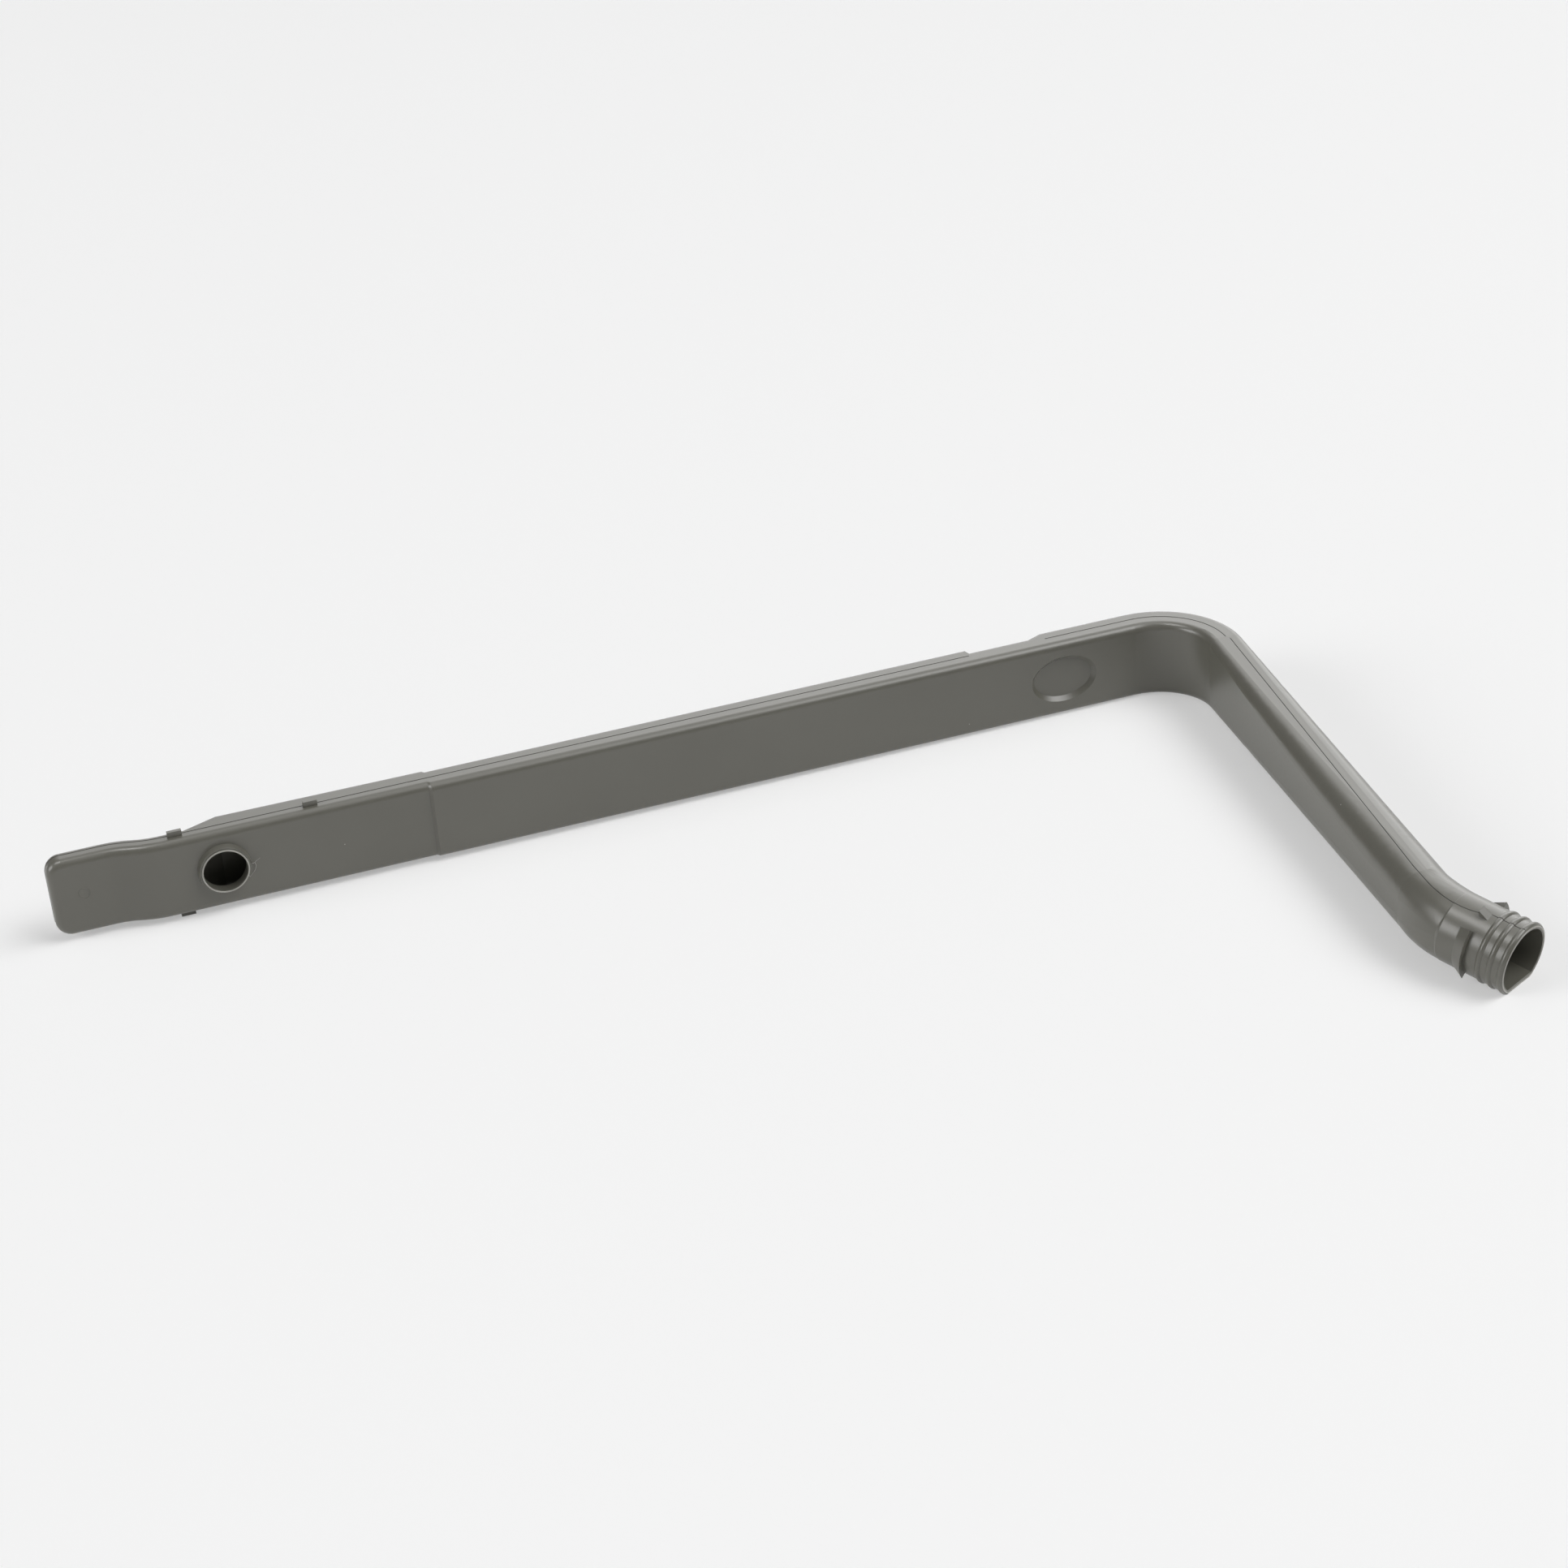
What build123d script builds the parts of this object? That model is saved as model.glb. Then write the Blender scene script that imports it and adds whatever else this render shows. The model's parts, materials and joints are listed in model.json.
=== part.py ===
from build123d import *
import os
from math import atan, cos, degrees, radians, sin

# One-piece blow-moulded vent tube: a flat duct that turns a corner in its own plane and
# becomes a round spigot. It lies on its narrow side: +X runs along the long leg from the
# closed tip to the corner, -Y is the side of the port and of the short leg, +Z is up.
# Millimetres. While it is drawn, the corner starts at X 0 and the front face is Y 0.

# Duct section and wall
duct_height = 38.0
duct_depth = 16.0
edge_radius = 3.7
wall = 1.6

# Long leg, runs in order from the corner back to the tip
main_run = 343.8
jog_length = 1.2
jog_offset = 1.3
left_run = 93.9
ramp_head_depth = 17.0
ramp_length = 15.1
neck_run = 12.0
tongue_depth = 11.0
tongue_offset = 4.3
tongue_curve_length = 24.0
tip_length = 26.0
tip_corner_radius = 7.0

# Notch in the back face of the long leg, measured back from the corner
notch_setback = 43.4
notch_ramp = 7.3
notch_run = 30.2
notch_step = 0.9
notch_depth = 3.3

# Oval dent in the front face
dent_setback = 37.2
dent_length = 33.2
dent_height = 23.6
dent_depth = 2.0
dent_slope = 2.0

# Port on the front face, a tapered ring with a thin raised lip round a bore
port_setback = 440.1
port_height = 19.8
port_radius = 9.9
port_base_radius = 12.0
port_top_radius = 11.4
port_rise = 3.0
port_lip_width = 0.8
port_lip_rise = 0.5

# Clip tabs, two on the upper narrow face and one under the tab nearer the tip
tab_length = 6.4
tab_rise = 2.6
tab_thickness = 2.0
tab_face = 5.8
corner_tab_setback = 394.6
tip_tab_setback = 455.4

# Corner and short leg, which grows from flat to nearly round
corner_inner_radius = 25.5
corner_turn = 94.0
leg_run = 218.0
leg_middle_depth = 21.5
leg_middle_height = 32.6
leg_middle_radius = 7.7
leg_end_depth = 24.2
leg_end_height = 31.2
leg_end_radius = 11.4

# Outlet bend, rolled a little towards the floor
outlet_bend_radius = 44.0
outlet_turn = 32.0
outlet_roll = 12.5
bend_depth = 27.0
bend_height = 30.9
bend_radius = 12.9

# Round spigot with ridges and a flat underneath, angles from its outer side
spigot_radius = 15.5
spigot_step = 0.2
spigot_length = 28.7
spigot_overlap = 3.3
spigot_cone_length = 2.0
spigot_cone_rise = 1.2
ridge_rise = 0.7
ridge_width = 2.6
ridge_setback = 1.4
ridge_pitch = 5.2
ridge_count = 3
flat_distance = 12.4
flat_angle = -79.5
flat_runout = 8.0
flat_runout_drop = 3.6

# Stop lugs and guide key round the spigot, angles from its crown, opposite the flat
lug_setback = 18.6
lug_length = 7.0
lug_rise = 2.7
lug_start = 48.0
lug_span = 84.0
key_setback = 15.0
key_length = 4.9
key_width = 3.6
key_rise = 3.0
key_angle = 14.5

# Places that follow from the sizes above
root = wall / 2
crown = flat_angle + 180
mid_height = duct_height / 2
corner_mid_radius = corner_inner_radius + duct_depth / 2
jog_x = -main_run
ramp_x = jog_x - jog_length - left_run
neck_x = ramp_x - ramp_length
curve_x = neck_x - neck_run
tongue_x = curve_x - tongue_curve_length
tongue_front = jog_offset + tongue_offset


def section(depth, height, radius, inset):
    """Rounded section, drawn in by the inset on every side."""
    return RectangleRounded(depth - 2 * inset, height - 2 * inset, radius - inset)


def duct(x, front, depth, inset):
    """Duct section placed square to the long leg."""
    plane = Plane((x, front + depth / 2, mid_height), (0, 1, 0), (1, 0, 0))
    return plane * section(depth, duct_height, edge_radius, inset)


def straight(x_from, x_to, front, depth, inset):
    """Straight length of duct."""
    return extrude(duct(x_from, front, depth, inset), x_to - x_from)


def change(x_from, front_from, depth_from, x_to, front_to, depth_to, inset):
    """Length of duct that changes its front face or depth evenly."""
    ends = [duct(x_from, front_from, depth_from, inset), duct(x_to, front_to, depth_to, inset)]
    return loft(ends, ruled=True)


def tongue_curve(inset):
    """S-curve of two equal arcs that sets the tongue back from the front face."""
    turn = 2 * atan(tongue_offset / tongue_curve_length)
    radius = tongue_curve_length / 2 / sin(turn)
    near_axis = Axis((curve_x, jog_offset + tongue_depth / 2 + radius, 0), (0, 0, -1))
    far_axis = Axis((tongue_x, tongue_front + tongue_depth / 2 - radius, 0), (0, 0, -1))
    near = revolve(duct(curve_x, jog_offset, tongue_depth, inset), near_axis, degrees(turn))
    far = revolve(duct(tongue_x, tongue_front, tongue_depth, inset), far_axis, degrees(turn))
    return near + far


def tip(inset):
    """Closed end of the tongue, a plate with round corners and edges."""
    length = tip_length - inset
    outline = Rectangle(length, duct_height - 2 * inset)
    outline = fillet(outline.vertices().group_by(Axis.X)[0], tip_corner_radius - inset)
    front = Plane((tongue_x - length / 2, tongue_front + inset, mid_height), (1, 0, 0), (0, -1, 0))
    plate = extrude(front * outline, 2 * inset - tongue_depth)
    joint = plate.faces().sort_by(Axis.X)[-1].edges()
    broad = plate.faces().sort_by(Axis.Y)
    rims = [edge for face in (broad[0], broad[-1]) for edge in face.edges() if edge not in joint]
    return fillet(rims, edge_radius - inset)


def long_leg(inset):
    """Everything from the tip to the start of the corner."""
    ramp_end = -notch_setback
    floor_end = ramp_end - notch_ramp
    floor_start = floor_end - notch_run
    notch_start = floor_start - notch_step
    floor_depth = duct_depth - notch_depth
    leg = tip(inset) + tongue_curve(inset)
    leg += straight(curve_x, neck_x, jog_offset, tongue_depth, inset)
    leg += change(neck_x, jog_offset, tongue_depth, ramp_x, jog_offset, ramp_head_depth, inset)
    leg += change(ramp_x, jog_offset, ramp_head_depth, jog_x - jog_length, jog_offset, duct_depth, inset)
    leg += change(jog_x - jog_length, jog_offset, duct_depth, jog_x, 0, duct_depth, inset)
    leg += straight(jog_x, notch_start, 0, duct_depth, inset)
    leg += change(notch_start, 0, duct_depth, floor_start, 0, floor_depth, inset)
    leg += straight(floor_start, floor_end, 0, floor_depth, inset)
    leg += change(floor_end, 0, floor_depth, ramp_end, 0, duct_depth, inset)
    leg += straight(ramp_end, 0, 0, duct_depth, inset)
    return leg


def dent(inset):
    """Oval dent in the front face with sloping sides, moved in and widened by the inset."""
    rim = Ellipse(dent_length / 2 + inset, dent_height / 2 + inset)
    floor = Ellipse(dent_length / 2 - dent_slope + inset, dent_height / 2 - dent_slope + inset)
    face = Plane((-dent_setback, inset, mid_height), (1, 0, 0), (0, -1, 0))
    return loft([face * rim, face.offset(-dent_depth) * floor])


def heading(angle):
    """Direction in the plane of the tube after a clockwise turn from +X."""
    return Vector(cos(radians(angle)), -sin(radians(angle)), 0)


# Centre line of the short leg and of the outlet bend
corner_centre = Vector(0, -corner_inner_radius, mid_height)
leg_heading = heading(corner_turn)
leg_out = heading(corner_turn - 90)
leg_start = corner_centre + leg_out * corner_mid_radius
leg_end = leg_start + leg_heading * leg_run
bend_out = leg_out * cos(radians(outlet_roll)) - Vector(0, 0, 1) * sin(radians(outlet_roll))
leg_plane = Plane(leg_start, leg_out, leg_heading)


def on_bend(turn):
    """Plane square to the outlet bend after part of its turn."""
    ahead = sin(radians(turn))
    aside = cos(radians(turn))
    centre = leg_end + (leg_heading * ahead + bend_out * (1 - aside)) * outlet_bend_radius
    return Plane(centre, bend_out * aside - leg_heading * ahead, leg_heading * aside + bend_out * ahead)


spigot_plane = on_bend(outlet_turn)


def short_leg(inset):
    """Corner, the leg that grows from flat to nearly round, and the outlet bend."""
    outlet_radius = spigot_radius - spigot_step
    flat = section(duct_depth, duct_height, edge_radius, inset)
    middle = section(leg_middle_depth, leg_middle_height, leg_middle_radius, inset)
    end = section(leg_end_depth, leg_end_height, leg_end_radius, inset)
    half = section(bend_depth, bend_height, bend_radius, inset)
    outlet = section(2 * outlet_radius, 2 * outlet_radius, outlet_radius - spigot_step, inset)
    corner = revolve(duct(0, 0, duct_depth, inset), Axis(corner_centre, (0, 0, -1)), corner_turn)
    leg = loft([leg_plane * flat, leg_plane.offset(leg_run / 2) * middle, leg_plane.offset(leg_run) * end])
    bend = loft([leg_plane.offset(leg_run) * end, on_bend(outlet_turn / 2) * half, spigot_plane * outlet])
    return corner + leg + bend


def barrel(inset, overrun):
    """Round spigot that grows out of the end of the bend."""
    radius = spigot_radius - inset
    start = spigot_plane.offset(-spigot_overlap)
    back = start.offset(-spigot_cone_length)
    cone = loft([back * Circle(radius - spigot_cone_rise), start * Circle(radius)])
    return cone + extrude(start * Circle(radius), spigot_overlap + spigot_length + overrun)


def beside_axis(angle):
    """Plane through the spigot axis at an angle, its own X outwards and its own Y to the mouth."""
    start = spigot_plane.moved(Rot(0, 0, angle))
    return Plane(start.origin, start.x_dir, -start.y_dir)


def round_axis(profile, angle, span):
    """Profile of radius and run along the spigot, swept round its axis from an angle."""
    return revolve(beside_axis(angle) * profile, Axis(spigot_plane.origin, spigot_plane.z_dir), span)


def flat_cut(inset):
    """What the flat under the spigot takes away, with a slope where it runs out into the bend."""
    near = flat_distance - inset
    far = near + spigot_length
    beyond = 2 * spigot_length
    floor = [(near, beyond), (near, 0), (near + flat_runout_drop, -flat_runout)]
    profile = make_face(Polyline(floor + [(far, -flat_runout), (far, beyond)], close=True))
    return extrude(beside_axis(flat_angle) * profile, spigot_length, both=True)


def ridge(setback):
    """Rounded ridge right round the spigot."""
    middle = spigot_length - setback
    low = (spigot_radius, middle - ridge_width / 2)
    high = (spigot_radius, middle + ridge_width / 2)
    crest = ThreePointArc(low, (spigot_radius + ridge_rise, middle), high)
    base = Polyline(high, (0, high[1]), (0, low[1]), low)
    return round_axis(make_face(crest + base), 0, 360) - flat_cut(-ridge_rise)


def lug(angle):
    """Stop lug, a ramp that ends in a square face towards the mouth."""
    face = spigot_length - lug_setback
    foot = spigot_radius - root
    ramp = Polyline((foot, face - lug_length), (spigot_radius + lug_rise, face), (foot, face), close=True)
    return round_axis(make_face(ramp), angle, lug_span)


def key():
    """Guide key, a wedge that falls away towards the mouth."""
    tail = spigot_length - key_setback
    foot = spigot_radius - root
    crest = spigot_radius + key_rise
    wedge = Polyline((foot, tail - key_length), (crest, tail - key_length), (foot, tail), close=True)
    return extrude(beside_axis(crown + key_angle) * make_face(wedge), key_width / 2, both=True)


def tab(setback, side):
    """Clip tab that stands on the upper face, side 1, or the lower face, side -1."""
    height = tab_rise + root
    lift = mid_height - root + height / 2
    centre = Pos(-setback - tab_length / 2, tab_face + tab_thickness / 2, mid_height + side * lift)
    return centre * Box(tab_length, tab_thickness, height)


# Port ring, seen along its axis from the front
port_base = Plane((-port_setback, jog_offset, port_height), (1, 0, 0), (0, -1, 0))
port_top = port_base.offset(port_rise)
ring = loft([port_base * Circle(port_base_radius), port_top * Circle(port_top_radius)])
ring += extrude(port_base.offset(-root) * Circle(port_base_radius), root)
ring += extrude(port_top * Circle(port_radius + port_lip_width), port_lip_rise)
port_bore = extrude(port_base.offset(-wall - root) * Circle(port_radius), wall + port_rise + 2 * root)

# Outer form, then the space inside, which follows it at the wall thickness
body = long_leg(0) + short_leg(0) + barrel(0, 0) - dent(0) - flat_cut(0)
for number in range(ridge_count):
    body += ridge(ridge_setback + number * ridge_pitch)
body += lug(crown + lug_start)
body += lug(crown - lug_start - lug_span)
body += key()
body += tab(corner_tab_setback, 1)
body += tab(tip_tab_setback, 1)
body += tab(tip_tab_setback, -1)
body += ring
space = long_leg(wall) + short_leg(wall) + barrel(wall, wall) - dent(wall) - flat_cut(wall)
vent_tube = body - space - port_bore

# Origin at the middle of the underside
box = vent_tube.bounding_box()
vent_tube = Pos(-box.center().X, -box.center().Y, -box.min.Z) * vent_tube

os.makedirs("parts", exist_ok=True)
export_step(vent_tube, "parts/vent_tube.step")
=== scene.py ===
import json
import math

import bpy
from mathutils import Matrix, Vector
from mathutils.bvhtree import BVHTree


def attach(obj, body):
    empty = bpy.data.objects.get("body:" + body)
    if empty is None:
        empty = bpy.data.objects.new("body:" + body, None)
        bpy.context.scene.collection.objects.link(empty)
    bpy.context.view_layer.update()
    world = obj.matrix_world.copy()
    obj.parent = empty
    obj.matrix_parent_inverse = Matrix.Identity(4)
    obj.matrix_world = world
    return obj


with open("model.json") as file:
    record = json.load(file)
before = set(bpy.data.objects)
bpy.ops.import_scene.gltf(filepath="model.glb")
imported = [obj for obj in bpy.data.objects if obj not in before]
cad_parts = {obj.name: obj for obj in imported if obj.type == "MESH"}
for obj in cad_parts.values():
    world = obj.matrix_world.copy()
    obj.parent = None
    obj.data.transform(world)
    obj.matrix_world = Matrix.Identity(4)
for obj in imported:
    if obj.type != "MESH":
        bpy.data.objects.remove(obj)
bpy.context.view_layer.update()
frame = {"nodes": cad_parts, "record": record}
tube = frame["nodes"]["vent_tube"]
mounts = {mount["name"]: mount for mount in frame["record"]["mounts"]}
scene = bpy.context.scene
scene.view_settings.view_transform = "Standard"
mm = 0.001

# Sizes of the tube that its mould marks follow, as in the CAD. Angles are in degrees, here and below
duct_depth = 16.0 * mm
duct_height = 38.0 * mm
tab_rise = 2.6 * mm
tip_length = 26.0 * mm
tongue_curve = 24.0 * mm
tongue_offset = 4.3 * mm
long_leg = 516.0 * mm
corner_radius = 33.5 * mm
corner_turn = 94.0
leg_run = 218.0 * mm
spigot_length = 28.7 * mm
spigot_roll = 10.65
key_start = 8.8 * mm
wall = 1.6 * mm
port_radius = mounts["port"]["dims"]["r_mm"] * mm
port_half_length = mounts["port"]["dims"]["length_mm"] * mm / 2
port_lip_width = 0.8 * mm

# Seam where the two halves of the mould met. Part of the long leg, the seam's gap, shows none
seam_width = 0.45 * mm
seam_rise = 0.14 * mm
seam_step = 1.0 * mm
seam_smoothing_rounds = 3
seam_normal_reach = 2
seam_guide_reach = 40.0 * mm
seam_gap_start = 151.0 * mm
seam_gap_end = 189.6 * mm
tip_seam_inset = 5.0 * mm
tip_seam_edge = 0.8 * mm
corner_seam_step = 1.5
corner_seam_gap = 1.0
leg_seam_first_gap = 2.0 * mm
leg_seam_last_gap = 3.0 * mm
leg_seam_start = 1.4 * mm
leg_seam_lean = 1.5 * mm
leg_seam_bow = 3.2 * mm
bend_seam_start = -24.0 * mm
bend_seam_crest = -1.0 * mm
bend_seam_angle = 119.8
bend_seam_fall = 0.0555
mouth_seam_angle = 107.8
mouth_seam_step = 0.4 * mm
mouth_seam_gap = 0.5 * mm

# Section of a bead, across and up, as shares of its width and its rise
bead_profile = ((-0.5, -0.6), (-0.42, 0.45), (-0.2, 0.95), (0.2, 0.95), (0.42, 0.45), (0.5, -0.6))

# Round mark on the tip, beads on the lip of the port and round the mouth whose pale colour is a painted
# highlight, and the burr beside the port
mark_place = Vector((-268.6, 147.27, 22.9)) * mm
mark_radius = 2.6 * mm
mark_width = 0.5 * mm
mark_rise = 0.26 * mm
mark_faint = 0.2
mark_step = 8.0
rim_bead_step = 4.0
rim_bead_inset = 0.2 * mm
rim_bead_width = 0.75 * mm
rim_bead_rise = 0.25 * mm
burr_thickness = 0.16 * mm
burr_taper = 0.75
burr_sides = 5

# Moulded surface and its dust
satin_gloss = 0.72
seam_gloss = 0.2
roughness = (0.29, 0.33)
cloud_scale = 14.0
cloud_detail = 3.0
wave_scale = 60.0
wave_strength = 0.06
wave_depth = 0.12 * mm
grain_scale = 900.0
grain_detail = 4.0
grain_strength = 0.03
grain_depth = 0.02 * mm
edge_radius = 0.2 * mm
edge_samples = 6
speck_scale = 170.0
speck_edge = (0.03, 0.06)
speck_share = (0.93, 0.94)
speck_colour = (0.42, 0.41, 0.38, 1)


def new_material(name):
    """Empty node material with its tree."""
    material = bpy.data.materials.new(name)
    material.use_nodes = True
    material.node_tree.nodes.clear()
    return material, material.node_tree.nodes, material.node_tree.links


def noise(nodes, links, coords, scale, detail=2.0):
    """Noise texture in object space."""
    node = nodes.new("ShaderNodeTexNoise")
    node.inputs["Scale"].default_value = scale
    node.inputs["Detail"].default_value = detail
    links.new(coords, node.inputs["Vector"])
    return node.outputs["Fac"]


def spread(nodes, links, value, low, high, start=0.3, end=0.7):
    """Maps a stretch of a value to a range."""
    node = nodes.new("ShaderNodeMapRange")
    node.inputs["From Min"].default_value = start
    node.inputs["From Max"].default_value = end
    node.inputs["To Min"].default_value = low
    node.inputs["To Max"].default_value = high
    links.new(value, node.inputs["Value"])
    return node.outputs["Result"]


def blend(nodes, links, factor, first, second):
    """Mixes two colours; the first may be a socket."""
    node = nodes.new("ShaderNodeMix")
    node.data_type = "RGBA"
    links.new(factor, node.inputs["Factor"])
    if isinstance(first, tuple):
        node.inputs["A"].default_value = first
    else:
        links.new(first, node.inputs["A"])
    node.inputs["B"].default_value = second
    return node.outputs["Result"]


def bump(nodes, links, height, normal, strength, distance):
    """Bump on top of a normal."""
    node = nodes.new("ShaderNodeBump")
    node.inputs["Strength"].default_value = strength
    node.inputs["Distance"].default_value = distance
    links.new(height, node.inputs["Height"])
    links.new(normal, node.inputs["Normal"])
    return node.outputs["Normal"]


def specks(nodes, links, coords):
    """Mask of tiny dust specks, in a few of the cells of a Voronoi pattern."""
    cells = nodes.new("ShaderNodeTexVoronoi")
    cells.inputs["Scale"].default_value = speck_scale
    links.new(coords, cells.inputs["Vector"])
    dot = spread(nodes, links, cells.outputs["Distance"], 1.0, 0.0, *speck_edge)
    chosen = nodes.new("ShaderNodeSeparateColor")
    links.new(cells.outputs["Color"], chosen.inputs["Color"])
    some = spread(nodes, links, chosen.outputs["Red"], 0.0, 1.0, *speck_share)
    both = nodes.new("ShaderNodeMath")
    both.operation = "MULTIPLY"
    links.new(dot, both.inputs[0])
    links.new(some, both.inputs[1])
    return both.outputs["Value"]


def plastic(name, dark, light, gloss=satin_gloss):
    """Satin warm grey plastic with faint flow shading, fine moulded grain and dust."""
    material, nodes, links = new_material(name)
    out = nodes.new("ShaderNodeOutputMaterial")
    shader = nodes.new("ShaderNodeBsdfPrincipled")
    links.new(shader.outputs["BSDF"], out.inputs["Surface"])
    coords = nodes.new("ShaderNodeTexCoord").outputs["Object"]
    cloud = noise(nodes, links, coords, cloud_scale, cloud_detail)
    grain = noise(nodes, links, coords, grain_scale, grain_detail)
    wave = noise(nodes, links, coords, wave_scale)
    colour = blend(nodes, links, spread(nodes, links, cloud, 0, 1), dark, light)
    colour = blend(nodes, links, specks(nodes, links, coords), colour, speck_colour)
    links.new(colour, shader.inputs["Base Color"])
    links.new(spread(nodes, links, grain, *roughness), shader.inputs["Roughness"])
    shader.inputs["Specular IOR Level"].default_value = gloss
    edge = nodes.new("ShaderNodeBevel")
    edge.samples = edge_samples
    edge.inputs["Radius"].default_value = edge_radius
    normal = bump(nodes, links, grain, edge.outputs["Normal"], grain_strength, grain_depth)
    normal = bump(nodes, links, wave, normal, wave_strength, wave_depth)
    links.new(normal, shader.inputs["Normal"])
    return material


tube_plastic = plastic("tube_plastic", (0.113, 0.11, 0.091, 1), (0.124, 0.121, 0.101, 1))
# The seam bead's darker colour is painted shade along the small mould step, with some dirt in it
seam_painted_shade = plastic("seam_painted_shade", (0.05, 0.048, 0.041, 1), (0.06, 0.058, 0.05, 1), seam_gloss)
# Pale colour of the beads on the port lip and mouth rim, a painted highlight along their crests
rim_painted_highlight = plastic("rim_painted_highlight", (0.32, 0.312, 0.28, 1), (0.36, 0.352, 0.32, 1))
burr_plastic = plastic("burr_plastic", (0.4, 0.39, 0.36, 1), (0.46, 0.45, 0.42, 1))
tube.data.materials.clear()
tube.data.materials.append(tube_plastic)

surface = BVHTree.FromPolygons(
    [vertex.co for vertex in tube.data.vertices],
    [tuple(polygon.vertices) for polygon in tube.data.polygons],
)


def add_piece(name, points, faces, material):
    """Smooth mesh piece that rides on the tube."""
    mesh = bpy.data.meshes.new(name)
    mesh.from_pydata([tuple(point) for point in points], [], faces)
    mesh.polygons.foreach_set("use_smooth", [True] * len(mesh.polygons))
    mesh.materials.append(material)
    piece = bpy.data.objects.new(name, mesh)
    scene.collection.objects.link(piece)
    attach(piece, "root")


def skin(count, side, closed):
    """Faces between rings of points along a path, with caps on an open one."""
    faces = []
    for i in range(count if closed else count - 1):
        near = i * side
        far = (i + 1) % count * side
        for k in range(side):
            following = (k + 1) % side
            faces.append((near + k, near + following, far + following, far + k))
    if not closed:
        faces.append(tuple(reversed(range(side))))
        faces.append(tuple(range((count - 1) * side, count * side)))
    return faces


def bead(name, path, width, rises, material, closed=False):
    """Low rounded bead along a path of points with their normals."""
    points = []
    for i, (place, normal) in enumerate(path):
        before = path[i - 1][0] if closed or i else place
        after = path[(i + 1) % len(path)][0] if closed or i + 1 < len(path) else place
        across = (after - before).cross(normal).normalized()
        points += [place + across * width * u + normal * rises[i] * v for u, v in bead_profile]
    add_piece(name, points, skin(len(path), len(bead_profile), closed), material)


def on_surface(guides):
    """Points and normals where guide rays meet the tube, evened out along the way."""
    hits = [surface.ray_cast(start, towards)[0] for start, towards in guides]
    hits = [hit for hit in hits if hit]
    for _ in range(seam_smoothing_rounds):
        inner = [(a + b * 2 + c) / 4 for a, b, c in zip(hits, hits[1:], hits[2:])]
        hits = [hits[0]] + inner + [hits[-1]]
    found = [surface.find_nearest(hit) for hit in hits]
    normals = [item[1] for item in found]
    even = []
    for i, item in enumerate(found):
        near = normals[max(i - seam_normal_reach, 0):i + seam_normal_reach + 1]
        even.append((item[0], sum(near, Vector()).normalized()))
    return even


def steps(start, end, step=seam_step):
    """Evenly spaced values from start to end."""
    count = max(2, math.ceil(abs(end - start) / step))
    return [start + (end - start) * i / count for i in range(count + 1)]


# Lines of the tube that the seam follows
seam_y = mounts["back_face"]["pos_m"][1] - duct_depth / 2
tip_x = min(vertex.co.x for vertex in tube.data.vertices)
tongue_x = tip_x + tip_length
curve_x = tongue_x + tongue_curve
corner_x = tip_x + long_leg
mid_height = tab_rise + duct_height / 2
corner_centre = Vector((corner_x, seam_y - corner_radius, mid_height))
end_angle = math.radians(90 - corner_turn)
leg_out = Vector((math.cos(end_angle), math.sin(end_angle), 0))
leg_ahead = Vector((leg_out.y, -leg_out.x, 0))
leg_start = corner_centre + leg_out * corner_radius
spigot_ahead = Vector(mounts["spigot"]["axis"])
spigot_start = Vector(mounts["spigot"]["pos_m"]) - spigot_ahead * spigot_length


def above(point, side):
    """Guide ray onto the upper side, 1, or the underside, -1."""
    return Vector((point.x, point.y, mid_height + side * seam_guide_reach)), Vector((0, 0, -side))


def long_seam(side, start, end):
    """Guide rays along the long leg, which step back with the tongue."""
    guides = []
    for x in steps(start, end):
        back = min(max((curve_x - x) / tongue_curve, 0), 1)
        back = back * back * (3 - 2 * back)
        guides.append(above(Vector((x, seam_y + tongue_offset * back, 0)), side))
    return guides


def tip_seam():
    """Guide rays down the closed end."""
    y = seam_y + tongue_offset
    half = duct_height / 2 - tip_seam_inset
    heights = steps(mid_height + half, mid_height - half)
    return [(Vector((tip_x - seam_guide_reach, y, z)), Vector((1, 0, 0))) for z in heights]


def corner_seam(side):
    """Guide rays round the corner."""
    turns = steps(0, corner_turn - corner_seam_gap, corner_seam_step)
    angles = [math.radians(90 - turn) for turn in turns]
    turned = [Vector((math.cos(angle), math.sin(angle), 0)) for angle in angles]
    return [above(corner_centre + out * corner_radius, side) for out in turned]


def leg_seam(side):
    """Guide rays down the short leg, across which the seam wanders."""
    guides = []
    for along in steps(leg_seam_first_gap, leg_run - leg_seam_last_gap):
        share = along / leg_run
        across = leg_seam_start - leg_seam_lean * share - leg_seam_bow * share * share
        guides.append(above(leg_start + leg_ahead * along + leg_out * across * side, side))
    return guides


def spigot_ray(along, angle):
    """Guide ray square onto the spigot at a place along it and an angle from its outer side."""
    up = Vector((0, 0, 1))
    roll_up = (up - spigot_ahead * up.dot(spigot_ahead)).normalized()
    roll_out = roll_up.cross(spigot_ahead)
    turn = math.radians(angle - spigot_roll)
    away = roll_out * math.cos(turn) + roll_up * math.sin(turn)
    return spigot_start + spigot_ahead * along + away * seam_guide_reach, -away


def bend_angle(along):
    """Angle of the seam on the bend and the root of the spigot."""
    offset = (along - bend_seam_crest) / mm
    return bend_seam_angle - bend_seam_fall * offset * offset


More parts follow.
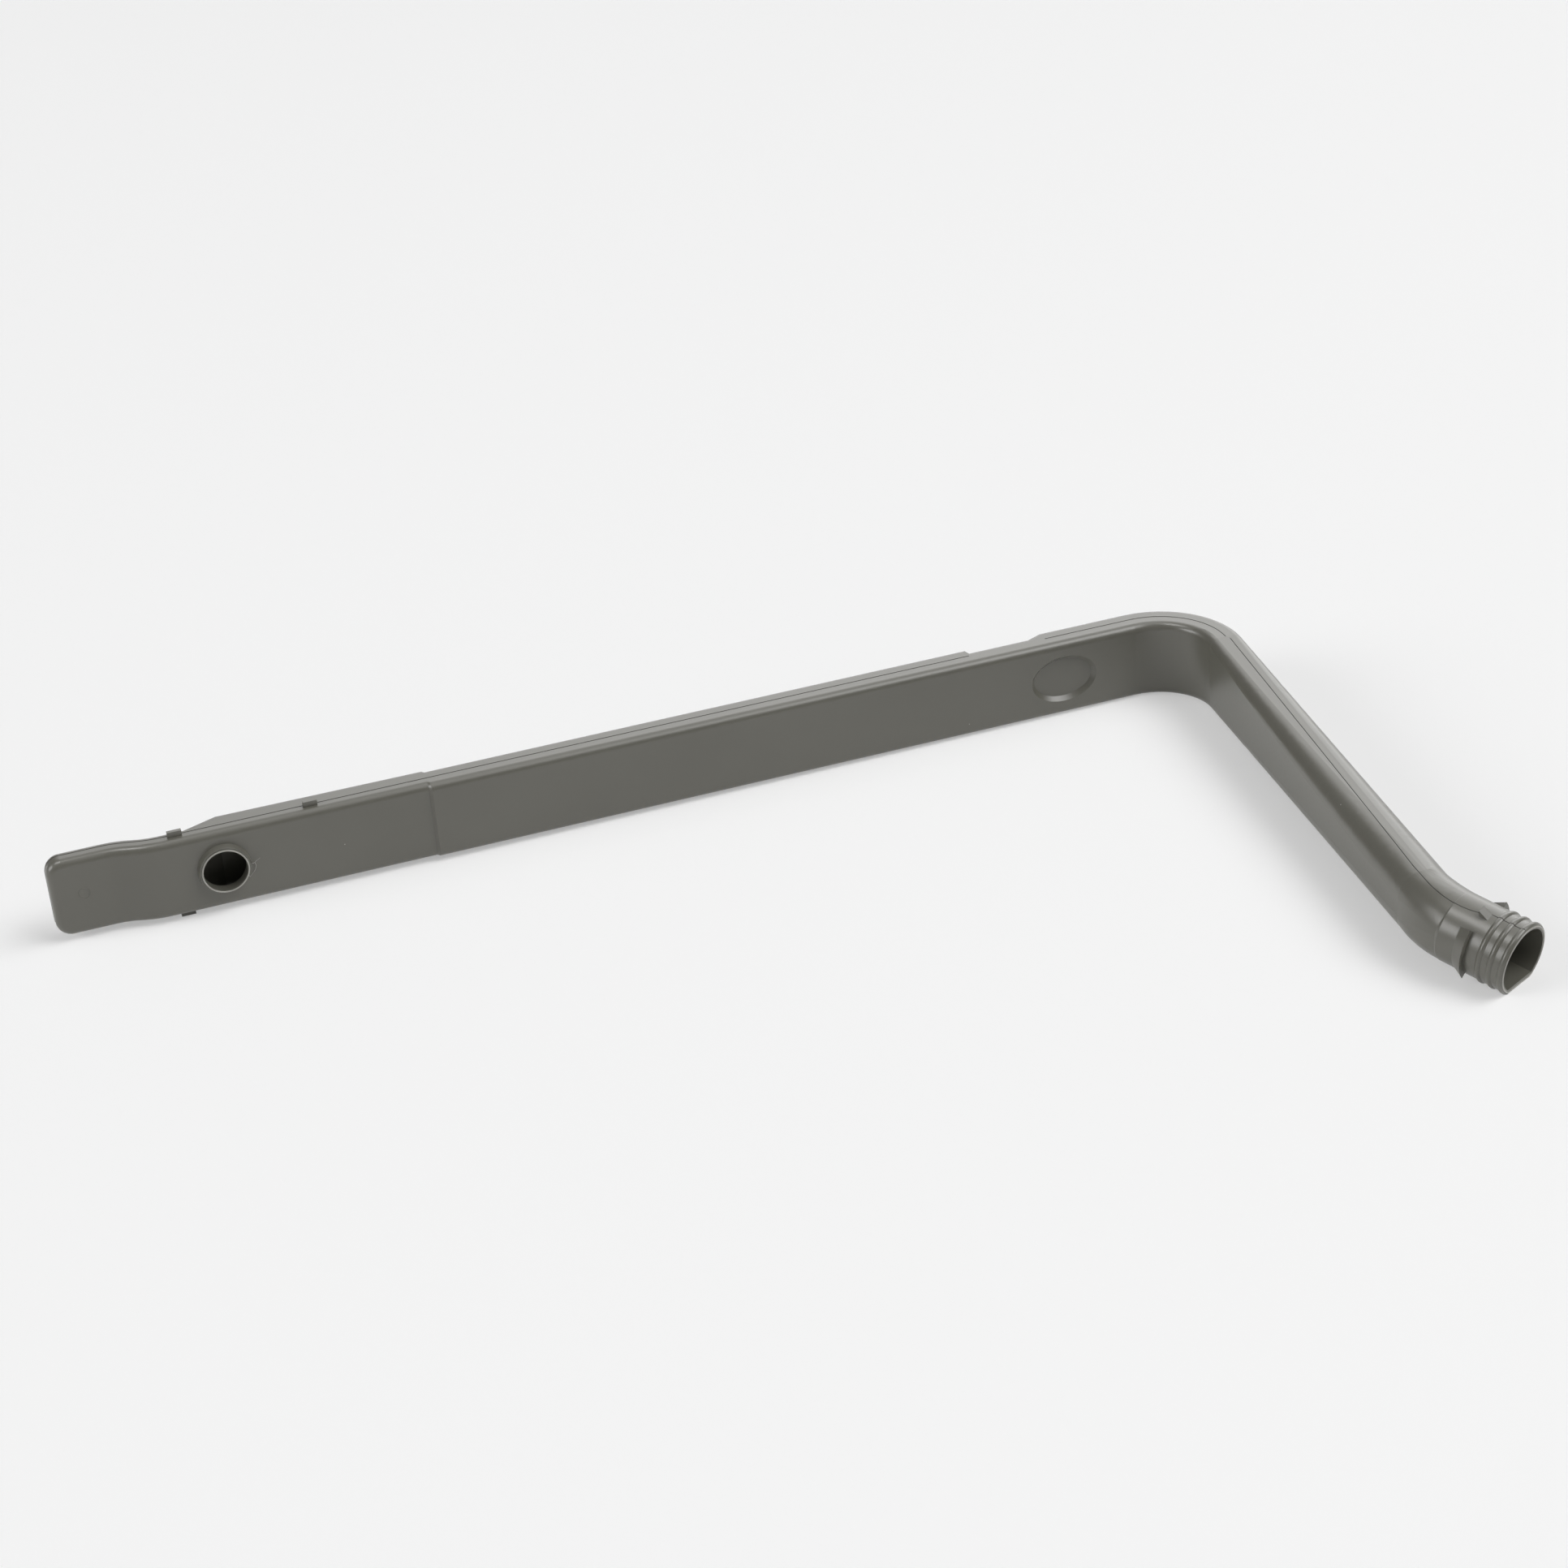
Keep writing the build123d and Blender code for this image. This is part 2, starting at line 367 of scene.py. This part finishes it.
tip_edge = tip_x + tip_seam_edge
lower = long_seam(-1, seam_gap_start, tip_edge) + tip_seam()[::-1]
round_tip = lower + long_seam(1, tip_edge, seam_gap_start)
bend = [spigot_ray(along, bend_angle(along)) for along in steps(bend_seam_start, key_start)]
mouth_steps = steps(key_start, spigot_length - mouth_seam_gap, mouth_seam_step)
mouth = [spigot_ray(along, mouth_seam_angle) for along in mouth_steps]
seams = {
    "seam_long_leg": round_tip,
    "seam_corner": long_seam(1, seam_gap_end, corner_x) + corner_seam(1)[1:],
    "seam_corner_under": long_seam(-1, seam_gap_end, corner_x) + corner_seam(-1)[1:],
    "seam_short_leg": leg_seam(1) + bend,
    "seam_short_leg_under": leg_seam(-1),
    "seam_mouth": mouth,
}
# Seam beads carry the darker colour, painted shade along the mould step
for name, guides in seams.items():
    path = on_surface(guides)
    bead(name, path, seam_width, [seam_rise] * len(path), seam_painted_shade)

# Round mould mark on the front of the tip, strongest at its right side
ring = []
rises = []
for turn in steps(0, math.tau, math.radians(mark_step))[:-1]:
    place = mark_place + Vector((math.cos(turn), 0, math.sin(turn))) * mark_radius
    ring.append((place, Vector((0, -1, 0))))
    rises.append(mark_rise * (mark_faint + (1 - mark_faint) * max(0, math.cos(turn))))
bead("gate_mark", ring, mark_width, rises, tube_plastic, closed=True)

# Rounded beads on the lip of the port and round the mouth, paler than the rest: their pale colour is a
# painted highlight along the crests
port = Vector(mounts["port"]["pos_m"])
lip_radius = port_radius + port_lip_width / 2
lip = []
rim = []
for turn in steps(0, math.tau, math.radians(rim_bead_step))[:-1]:
    out = Vector((math.cos(turn), 0, math.sin(turn))) * lip_radius
    lip.append((port + out - Vector((0, port_half_length, 0)), Vector((0, -1, 0))))
    start, inward = spigot_ray(spigot_length - rim_bead_inset, math.degrees(turn))
    edge = surface.ray_cast(start, inward)[0] + inward * rim_bead_width
    rim.append((edge + spigot_ahead * rim_bead_inset, spigot_ahead))
bead("port_lip_painted_highlight", lip, rim_bead_width, [rim_bead_rise] * len(lip), rim_painted_highlight, closed=True)
bead("mouth_rim_painted_highlight", rim, rim_bead_width, [rim_bead_rise] * len(rim), rim_painted_highlight, closed=True)


def strand(name, line):
    """Thin tapered burr through places round the port, given by radius and lift in mm and an angle."""
    off_axis = Vector((0.3, 1, 0.2))
    centre = port + Vector((0, port_half_length - wall, 0))
    knots = []
    for radius, angle, lift in line:
        turn = math.radians(angle)
        knots.append(centre + Vector((radius * math.cos(turn), -lift, radius * math.sin(turn))) * mm)
    ends = [knots[0] * 2 - knots[1]] + knots + [knots[-1] * 2 - knots[-2]]
    path = []
    for a, b, c, d in zip(ends, ends[1:], ends[2:], ends[3:]):
        for t in (0, 0.25, 0.5, 0.75):
            curve = b * 2 + (c - a) * t + (a * 2 - b * 5 + c * 4 - d) * t ** 2
            path.append((curve + (b * 3 - a - c * 3 + d) * t ** 3) / 2)
    path.append(knots[-1])
    points = []
    for i, place in enumerate(path):
        ahead = (path[min(i + 1, len(path) - 1)] - path[max(i - 1, 0)]).normalized()
        side = ahead.cross(off_axis).normalized()
        over = side.cross(ahead)
        radius = burr_thickness * (1 - burr_taper * i / len(path))
        for k in range(burr_sides):
            turn = math.tau * k / burr_sides
            points.append(place + (side * math.cos(turn) + over * math.sin(turn)) * radius)
    add_piece(name, points, skin(len(path), burr_sides, False), burr_plastic)


whisker = [(12.0, -4, 0.2), (13.0, -2, 0.7), (14.4, 3, 1.3), (16.0, 7, 1.8)]
curl = [(13.4, -3, 0.1), (13.9, -9, 0.5), (13.6, -18, 0.7), (12.8, -27, 0.9), (11.6, -31, 2.6)]
lip_end = [(11.7, -30, 2.4), (10.8, -27, 3.2), (10.4, -20, 3.6)]
strand("burr_whisker", whisker)
strand("burr_curl", curl)
strand("burr_lip", lip_end)

# Floor, tilted to the plane that the tube comes to rest on
rest_normal = Vector((-0.00495, 0.00465, 0.99998)).normalized()
rest_point = Vector((-222.48, 147.47, 0)) * mm
floor_half = 12.0
floor_white = (0.97, 0.97, 0.97, 1)
floor_glow = 0.38
floor_side = Vector((0, 1, 0)).cross(rest_normal).normalized()
floor_ahead = rest_normal.cross(floor_side)
square = ((-1, -1), (1, -1), (1, 1), (-1, 1))
corners = [rest_point + (floor_side * a + floor_ahead * b) * floor_half for a, b in square]
mesh = bpy.data.meshes.new("floor")
mesh.from_pydata([tuple(corner) for corner in corners], [], [(0, 1, 2, 3)])
floor = bpy.data.objects.new("floor", mesh)
scene.collection.objects.link(floor)


def seen_directly(nodes, links, share):
    """Share of a shader for camera, glossy and transmission rays only."""
    path = nodes.new("ShaderNodeLightPath")
    total = None
    for name in ("Is Camera Ray", "Is Glossy Ray", "Is Transmission Ray"):
        add = nodes.new("ShaderNodeMath")
        add.operation = "MULTIPLY_ADD"
        add.inputs[1].default_value = share
        add.inputs[2].default_value = 0
        links.new(path.outputs[name], add.inputs[0])
        if total:
            links.new(total, add.inputs[2])
        total = add.outputs["Value"]
    return total


floor_material, nodes, links = new_material("floor_white")
paper = nodes.new("ShaderNodeBsdfDiffuse")
paper.inputs["Color"].default_value = floor_white
glow = nodes.new("ShaderNodeEmission")
glow.inputs["Color"].default_value = floor_white
mix = nodes.new("ShaderNodeMixShader")
links.new(seen_directly(nodes, links, floor_glow), mix.inputs["Fac"])
links.new(paper.outputs["BSDF"], mix.inputs[1])
links.new(glow.outputs["Emission"], mix.inputs[2])
links.new(mix.outputs["Shader"], nodes.new("ShaderNodeOutputMaterial").inputs["Surface"])
mesh.materials.append(floor_material)

# World, as pale as the floor to the camera and a weak fill for the object
fill_light = 0.2
world = bpy.data.worlds.new("studio")
scene.world = world
world.use_nodes = True
nodes = world.node_tree.nodes
links = world.node_tree.links
nodes.clear()
fill = nodes.new("ShaderNodeBackground")
fill.inputs["Color"].default_value = (1, 1, 1, 1)
fill.inputs["Strength"].default_value = fill_light
seen = nodes.new("ShaderNodeBackground")
seen.inputs["Color"].default_value = floor_white
swap = nodes.new("ShaderNodeMixShader")
links.new(nodes.new("ShaderNodeLightPath").outputs["Is Camera Ray"], swap.inputs["Fac"])
links.new(fill.outputs["Background"], swap.inputs[1])
links.new(seen.outputs["Background"], swap.inputs[2])
links.new(swap.outputs["Shader"], nodes.new("ShaderNodeOutputWorld").inputs["Surface"])

# Lamps, all at one distance. The fade of a lamp is u(1 - u)v(1 - v), which is highest in its middle
light_distance = 12.0
fade_peak = 1 / 16


def fade_to_edges(light):
    """Lets a lamp's glow fall from its middle to nothing at its edges."""
    light.use_nodes = True
    nodes = light.node_tree.nodes
    links = light.node_tree.links
    nodes.clear()
    place = nodes.new("ShaderNodeNewGeometry").outputs["Parametric"]
    inverse = nodes.new("ShaderNodeVectorMath")
    inverse.operation = "SUBTRACT"
    inverse.inputs[0].default_value = (1, 1, 1)
    links.new(place, inverse.inputs[1])
    arch = nodes.new("ShaderNodeVectorMath")
    arch.operation = "MULTIPLY"
    links.new(place, arch.inputs[0])
    links.new(inverse.outputs["Vector"], arch.inputs[1])
    parts = nodes.new("ShaderNodeSeparateXYZ")
    links.new(arch.outputs["Vector"], parts.inputs["Vector"])
    both = nodes.new("ShaderNodeMath")
    both.operation = "MULTIPLY"
    links.new(parts.outputs["X"], both.inputs[0])
    links.new(parts.outputs["Y"], both.inputs[1])
    fade = spread(nodes, links, both.outputs["Value"], 0.0, 1.0, 0.0, fade_peak)
    emission = nodes.new("ShaderNodeEmission")
    links.new(fade, emission.inputs["Strength"])
    links.new(emission.outputs["Emission"], nodes.new("ShaderNodeOutputLight").inputs["Surface"])


def softbox(name, azimuth, elevation, half_width, half_height, radiance, gloss_only=False):
    """Soft lamp in a direction, with its angular size. One for the gloss alone works as a reflector."""
    turn = math.radians(azimuth)
    rise = math.radians(elevation)
    level = math.cos(rise)
    place = Vector((math.cos(turn) * level, math.sin(turn) * level, math.sin(rise)))
    light = bpy.data.lights.new(name, "AREA")
    light.shape = "RECTANGLE"
    light.size = 2 * light_distance * math.tan(math.radians(half_width))
    light.size_y = 2 * light_distance * math.tan(math.radians(half_height))
    light.energy = radiance * math.pi * light.size * light.size_y
    fade_to_edges(light)
    lamp = bpy.data.objects.new(name, light)
    lamp.location = place * light_distance
    lamp.rotation_mode = "QUATERNION"
    lamp.rotation_quaternion = (-place).to_track_quat("-Z", "Y")
    lamp.visible_camera = False
    lamp.visible_diffuse = not gloss_only
    scene.collection.objects.link(lamp)


softbox("key_light", -26, 52, 27, 22, 6.6)
softbox("side_light", 178, 25, 20, 18, 6.4)
softbox("back_light", 58, 26, 38, 34, 2.55, gloss_only=True)
softbox("back_right_light", 45, 11, 14, 10, 1.0, gloss_only=True)
softbox("top_light", 20, 74, 30, 18, 1.6, gloss_only=True)
softbox("rear_light", 174, 74, 11, 14, 10.0, gloss_only=True)

# Camera fitted to the photograph
camera = bpy.data.objects.new("camera", bpy.data.cameras.new("camera"))
photo_width = 1932
focal_pixels = 4000
camera.data.sensor_width = 36.0
camera.data.lens = camera.data.sensor_width * focal_pixels / photo_width
right = Vector((0.9418028, -0.3296386, -0.0659234))
up = Vector((0.2186569, 0.4517434, 0.8649376))
back = Vector((-0.2553363, -0.8290153, 0.4975309))
camera_turn = Matrix((right, up, back)).transposed().to_4x4()
camera.matrix_world = Matrix.Translation((-0.3325896, -1.1110693, 0.7517987)) @ camera_turn
camera.data.clip_start = 0.05
camera.data.clip_end = 60
scene.collection.objects.link(camera)
scene.camera = camera
